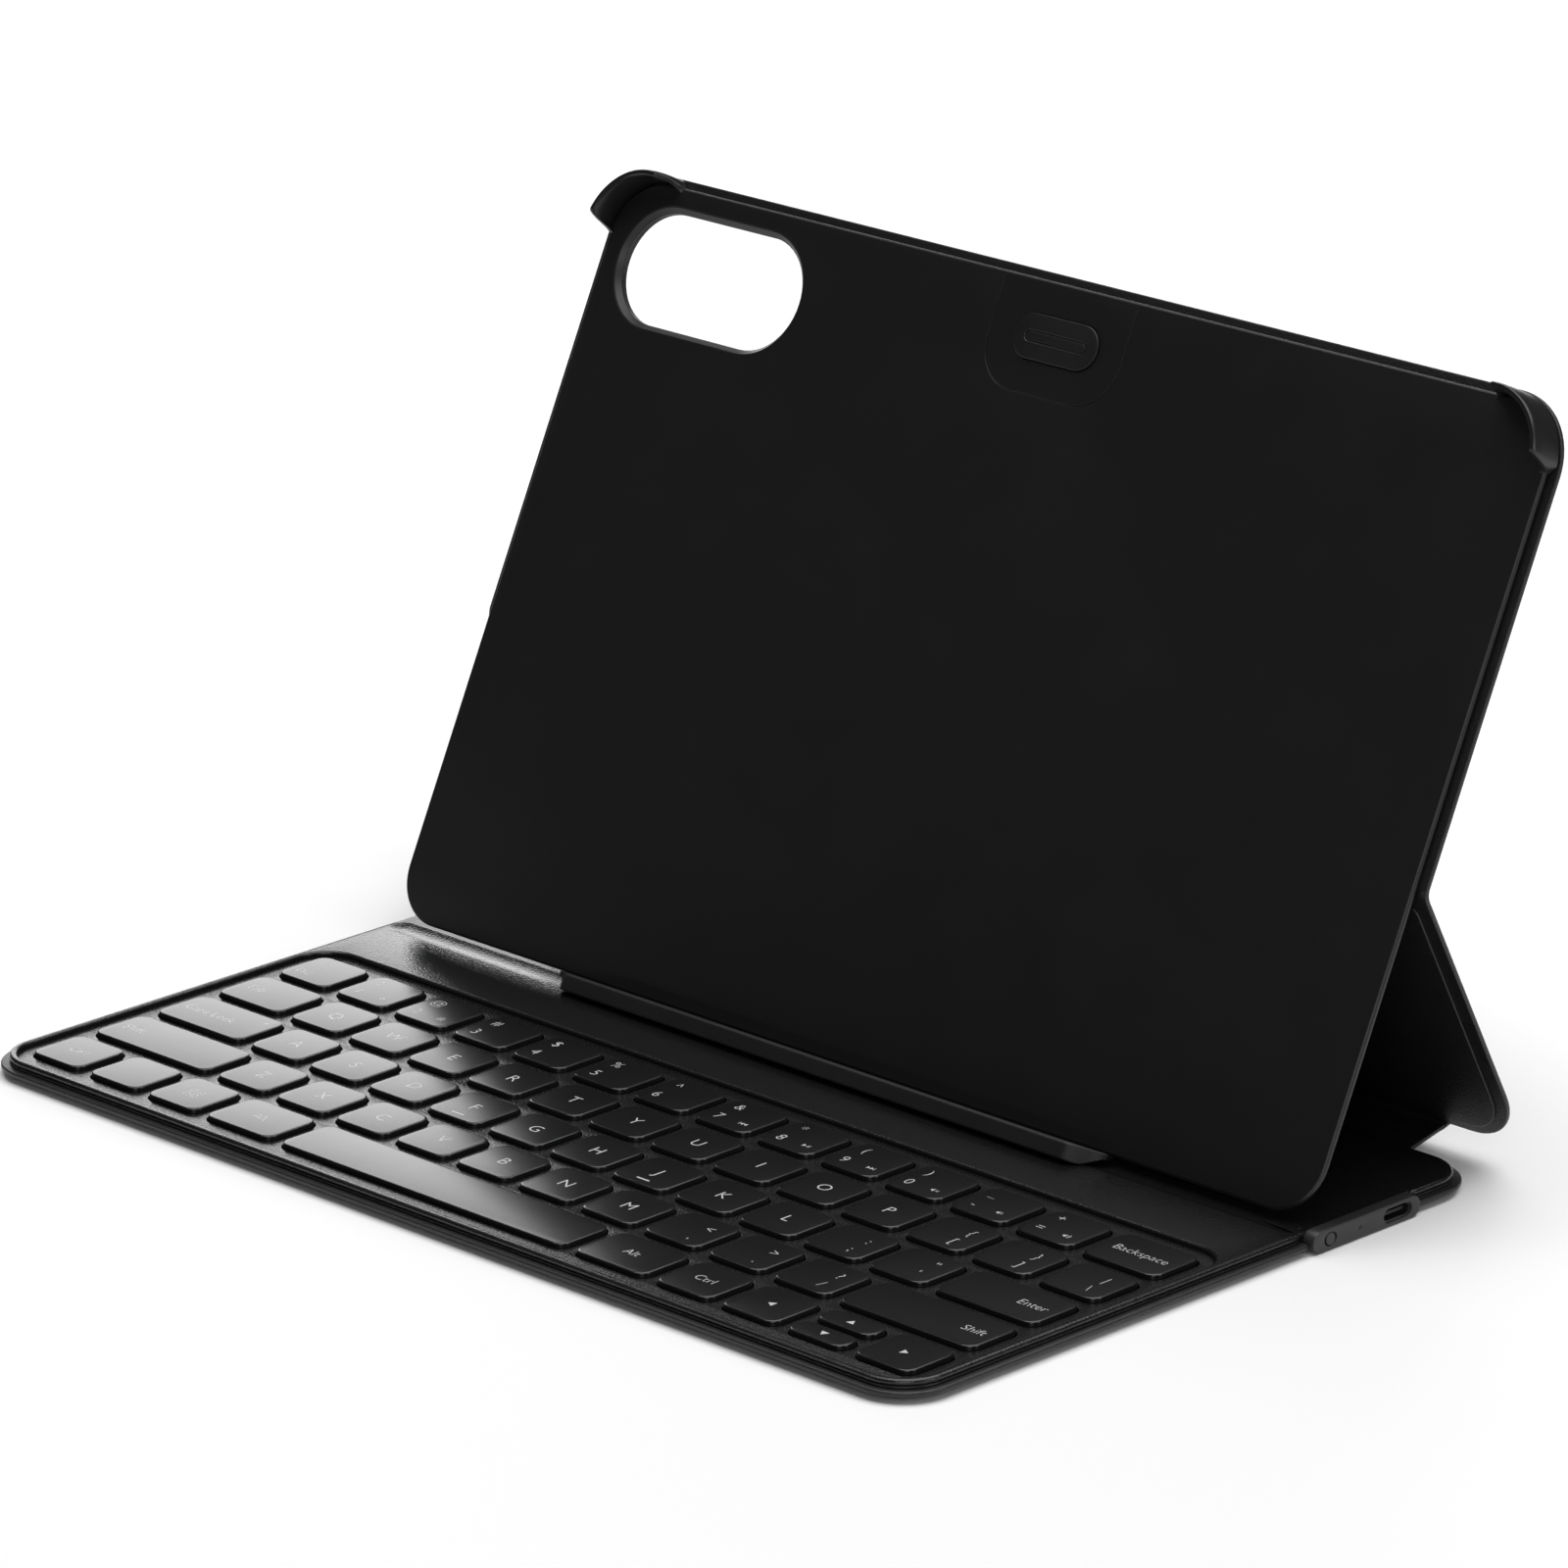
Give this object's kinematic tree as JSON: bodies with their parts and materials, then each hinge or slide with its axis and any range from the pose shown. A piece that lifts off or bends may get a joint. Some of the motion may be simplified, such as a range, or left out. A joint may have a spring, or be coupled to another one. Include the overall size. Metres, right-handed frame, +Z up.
{
  "type": "tablet keyboard case",
  "caption": "Folding leather tablet case with a flat keyboard base, a stand flap, and a leaning tray with corner clips, a bottom lip and a camera opening.",
  "frame": {"origin": "centre of the base's flat underside, on the desk", "axes": "+X to the right of the typist, +Y away from the typist, +Z up"},
  "size_m": [0.2858, 0.2047, 0.1729],
  "materials": {
    "cover_leather": "fine-grained black coated leather, satin",
    "deck_leather": "fine-grained black coated leather, satin",
    "well_leather": "fine-grained black coated leather, matte",
    "film": "printed polyester film",
    "silicone": "translucent silicone",
    "link_plastic": "moulded white plastic",
    "inner_plastic": "moulded dark plastic sheet",
    "board": "solder mask",
    "foil": "laminated pouch",
    "magnet": "nickel plated",
    "bar_plastic": "fine satin dark grey",
    "steel": "satin stainless",
    "tongue_plastic": "moulded black",
    "window": "clear light pipe",
    "tray_plastic": "soft-touch satin black",
    "lip_plastic": "soft-touch satin black",
    "clip_plastic": "satin black with a polished edge",
    "pad_rubber": "matte black silicone",
    "copper": "enamelled copper wire",
    "key_plastic": "satin dark grey"
  },
  "bodies": {
    "base": {"base_skin": "cover_leather", "deck_skin": "deck_leather", "key_frame": "well_leather", "membrane": "film", "rubber_domes": "silicone", "scissor_frames": "link_plastic", "rear_frame": "inner_plastic", "circuit_board": "board", "battery": "foil", "groove_magnets": "magnet", "port_bar": "bar_plastic", "usb_shell": "steel", "usb_tongue": "tongue_plastic", "led_window": "window"},
    "pairing_button": {"pairing_button": "bar_plastic"},
    "spine": {"spine_skin": "cover_leather"},
    "flap": {"flap_skin": "cover_leather", "flap_board": "inner_plastic", "flap_magnets": "magnet"},
    "tray": {"cover_skin": "cover_leather", "cover_board": "inner_plastic", "cover_magnets": "magnet", "tray": "tray_plastic", "tray_lip": "lip_plastic", "left_clip": "clip_plastic", "right_clip": "clip_plastic", "coil_insert": "tray_plastic", "coil_pad": "pad_rubber", "charging_coil": "copper"},
    "key_esc": {"key_esc": "key_plastic"},
    "key_backspace": {"key_backspace": "key_plastic"},
    "key_tab": {"key_tab": "key_plastic"},
    "key_backslash": {"key_backslash": "key_plastic"},
    "key_caps_lock": {"key_caps_lock": "key_plastic"},
    "key_enter": {"key_enter": "key_plastic"},
    "key_shift_left": {"key_shift_left": "key_plastic"},
    "key_shift_right": {"key_shift_right": "key_plastic"},
    "key_ctrl_left": {"key_ctrl_left": "key_plastic"},
    "key_fn": {"key_fn": "key_plastic"},
    "key_menu": {"key_menu": "key_plastic"},
    "key_alt_left": {"key_alt_left": "key_plastic"},
    "key_space": {"key_space": "key_plastic"},
    "key_alt_right": {"key_alt_right": "key_plastic"},
    "key_ctrl_right": {"key_ctrl_right": "key_plastic"},
    "key_arrow_left": {"key_arrow_left": "key_plastic"},
    "key_arrow_up": {"key_arrow_up": "key_plastic"},
    "key_arrow_down": {"key_arrow_down": "key_plastic"},
    "key_arrow_right": {"key_arrow_right": "key_plastic"},
    "keys_1_q_a_z": {"keys_1_q_a_z": "key_plastic"},
    "keys_2_w_s_x": {"keys_2_w_s_x": "key_plastic"},
    "keys_3_e_d_c": {"keys_3_e_d_c": "key_plastic"},
    "keys_4_r_f_v": {"keys_4_r_f_v": "key_plastic"},
    "keys_5_t_g_b": {"keys_5_t_g_b": "key_plastic"},
    "keys_6_y_h_n": {"keys_6_y_h_n": "key_plastic"},
    "keys_7_u_j_m": {"keys_7_u_j_m": "key_plastic"},
    "keys_8_i_k_comma": {"keys_8_i_k_comma": "key_plastic"},
    "keys_9_o_l_period": {"keys_9_o_l_period": "key_plastic"},
    "keys_0_p_semicolon_slash": {"keys_0_p_semicolon_slash": "key_plastic"},
    "keys_minus_bracket_quote": {"keys_minus_bracket_quote": "key_plastic"},
    "keys_equals_bracket": {"keys_equals_bracket": "key_plastic"}
  },
  "joints": [
    {"name": "base_fold", "type": "hinge", "parent": "base", "child": "spine", "pos_m": [0, 0.09, 0.0019], "axis": [1, 0, 0], "range_deg": [-60, 0]},
    {"name": "flap_fold", "type": "hinge", "parent": "spine", "child": "flap", "pos_m": [0, 0.10308, 0.00474], "axis": [1, 0, 0], "range_deg": [-90, 0]},
    {"name": "cover_fold", "type": "hinge", "parent": "flap", "child": "tray", "pos_m": [0, 0.06787, 0.07096], "axis": [1, 0, 0], "range_deg": [-90, 0]},
    {"name": "pairing_button_press", "type": "slide", "parent": "base", "child": "pairing_button", "axis": [-1, 0, 0], "range_m": [0, 0.0004], "stiffness_N_per_m": 800, "springref_m": -0.0004},
    {"name": "key_esc_press", "type": "slide", "parent": "base", "child": "key_esc", "axis": [0, 0, -1], "range_m": [0, 0.001], "stiffness_N_per_m": 250, "springref_m": -0.001},
    {"name": "key_backspace_press", "type": "slide", "parent": "base", "child": "key_backspace", "axis": [0, 0, -1], "range_m": [0, 0.001], "stiffness_N_per_m": 250, "springref_m": -0.001},
    {"name": "key_tab_press", "type": "slide", "parent": "base", "child": "key_tab", "axis": [0, 0, -1], "range_m": [0, 0.001], "stiffness_N_per_m": 250, "springref_m": -0.001},
    {"name": "key_backslash_press", "type": "slide", "parent": "base", "child": "key_backslash", "axis": [0, 0, -1], "range_m": [0, 0.001], "stiffness_N_per_m": 250, "springref_m": -0.001},
    {"name": "key_caps_lock_press", "type": "slide", "parent": "base", "child": "key_caps_lock", "axis": [0, 0, -1], "range_m": [0, 0.001], "stiffness_N_per_m": 250, "springref_m": -0.001},
    {"name": "key_enter_press", "type": "slide", "parent": "base", "child": "key_enter", "axis": [0, 0, -1], "range_m": [0, 0.001], "stiffness_N_per_m": 250, "springref_m": -0.001},
    {"name": "key_shift_left_press", "type": "slide", "parent": "base", "child": "key_shift_left", "axis": [0, 0, -1], "range_m": [0, 0.001], "stiffness_N_per_m": 250, "springref_m": -0.001},
    {"name": "key_shift_right_press", "type": "slide", "parent": "base", "child": "key_shift_right", "axis": [0, 0, -1], "range_m": [0, 0.001], "stiffness_N_per_m": 250, "springref_m": -0.001},
    {"name": "key_ctrl_left_press", "type": "slide", "parent": "base", "child": "key_ctrl_left", "axis": [0, 0, -1], "range_m": [0, 0.001], "stiffness_N_per_m": 250, "springref_m": -0.001},
    {"name": "key_fn_press", "type": "slide", "parent": "base", "child": "key_fn", "axis": [0, 0, -1], "range_m": [0, 0.001], "stiffness_N_per_m": 250, "springref_m": -0.001},
    {"name": "key_menu_press", "type": "slide", "parent": "base", "child": "key_menu", "axis": [0, 0, -1], "range_m": [0, 0.001], "stiffness_N_per_m": 250, "springref_m": -0.001},
    {"name": "key_alt_left_press", "type": "slide", "parent": "base", "child": "key_alt_left", "axis": [0, 0, -1], "range_m": [0, 0.001], "stiffness_N_per_m": 250, "springref_m": -0.001},
    {"name": "key_space_press", "type": "slide", "parent": "base", "child": "key_space", "axis": [0, 0, -1], "range_m": [0, 0.001], "stiffness_N_per_m": 250, "springref_m": -0.001},
    {"name": "key_alt_right_press", "type": "slide", "parent": "base", "child": "key_alt_right", "axis": [0, 0, -1], "range_m": [0, 0.001], "stiffness_N_per_m": 250, "springref_m": -0.001},
    {"name": "key_ctrl_right_press", "type": "slide", "parent": "base", "child": "key_ctrl_right", "axis": [0, 0, -1], "range_m": [0, 0.001], "stiffness_N_per_m": 250, "springref_m": -0.001},
    {"name": "key_arrow_left_press", "type": "slide", "parent": "base", "child": "key_arrow_left", "axis": [0, 0, -1], "range_m": [0, 0.001], "stiffness_N_per_m": 250, "springref_m": -0.001},
    {"name": "key_arrow_up_press", "type": "slide", "parent": "base", "child": "key_arrow_up", "axis": [0, 0, -1], "range_m": [0, 0.001], "stiffness_N_per_m": 250, "springref_m": -0.001},
    {"name": "key_arrow_down_press", "type": "slide", "parent": "base", "child": "key_arrow_down", "axis": [0, 0, -1], "range_m": [0, 0.001], "stiffness_N_per_m": 250, "springref_m": -0.001},
    {"name": "key_arrow_right_press", "type": "slide", "parent": "base", "child": "key_arrow_right", "axis": [0, 0, -1], "range_m": [0, 0.001], "stiffness_N_per_m": 250, "springref_m": -0.001},
    {"name": "keys_1_q_a_z_press", "type": "slide", "parent": "base", "child": "keys_1_q_a_z", "axis": [0, 0, -1], "range_m": [0, 0.001], "stiffness_N_per_m": 250, "springref_m": -0.001},
    {"name": "keys_2_w_s_x_press", "type": "slide", "parent": "base", "child": "keys_2_w_s_x", "axis": [0, 0, -1], "range_m": [0, 0.001], "stiffness_N_per_m": 250, "springref_m": -0.001},
    {"name": "keys_3_e_d_c_press", "type": "slide", "parent": "base", "child": "keys_3_e_d_c", "axis": [0, 0, -1], "range_m": [0, 0.001], "stiffness_N_per_m": 250, "springref_m": -0.001},
    {"name": "keys_4_r_f_v_press", "type": "slide", "parent": "base", "child": "keys_4_r_f_v", "axis": [0, 0, -1], "range_m": [0, 0.001], "stiffness_N_per_m": 250, "springref_m": -0.001},
    {"name": "keys_5_t_g_b_press", "type": "slide", "parent": "base", "child": "keys_5_t_g_b", "axis": [0, 0, -1], "range_m": [0, 0.001], "stiffness_N_per_m": 250, "springref_m": -0.001},
    {"name": "keys_6_y_h_n_press", "type": "slide", "parent": "base", "child": "keys_6_y_h_n", "axis": [0, 0, -1], "range_m": [0, 0.001], "stiffness_N_per_m": 250, "springref_m": -0.001},
    {"name": "keys_7_u_j_m_press", "type": "slide", "parent": "base", "child": "keys_7_u_j_m", "axis": [0, 0, -1], "range_m": [0, 0.001], "stiffness_N_per_m": 250, "springref_m": -0.001},
    {"name": "keys_8_i_k_comma_press", "type": "slide", "parent": "base", "child": "keys_8_i_k_comma", "axis": [0, 0, -1], "range_m": [0, 0.001], "stiffness_N_per_m": 250, "springref_m": -0.001},
    {"name": "keys_9_o_l_period_press", "type": "slide", "parent": "base", "child": "keys_9_o_l_period", "axis": [0, 0, -1], "range_m": [0, 0.001], "stiffness_N_per_m": 250, "springref_m": -0.001},
    {"name": "keys_0_p_semicolon_slash_press", "type": "slide", "parent": "base", "child": "keys_0_p_semicolon_slash", "axis": [0, 0, -1], "range_m": [0, 0.001], "stiffness_N_per_m": 250, "springref_m": -0.001},
    {"name": "keys_minus_bracket_quote_press", "type": "slide", "parent": "base", "child": "keys_minus_bracket_quote", "axis": [0, 0, -1], "range_m": [0, 0.001], "stiffness_N_per_m": 250, "springref_m": -0.001},
    {"name": "keys_equals_bracket_press", "type": "slide", "parent": "base", "child": "keys_equals_bracket", "axis": [0, 0, -1], "range_m": [0, 0.001], "stiffness_N_per_m": 250, "springref_m": -0.001}
  ]
}
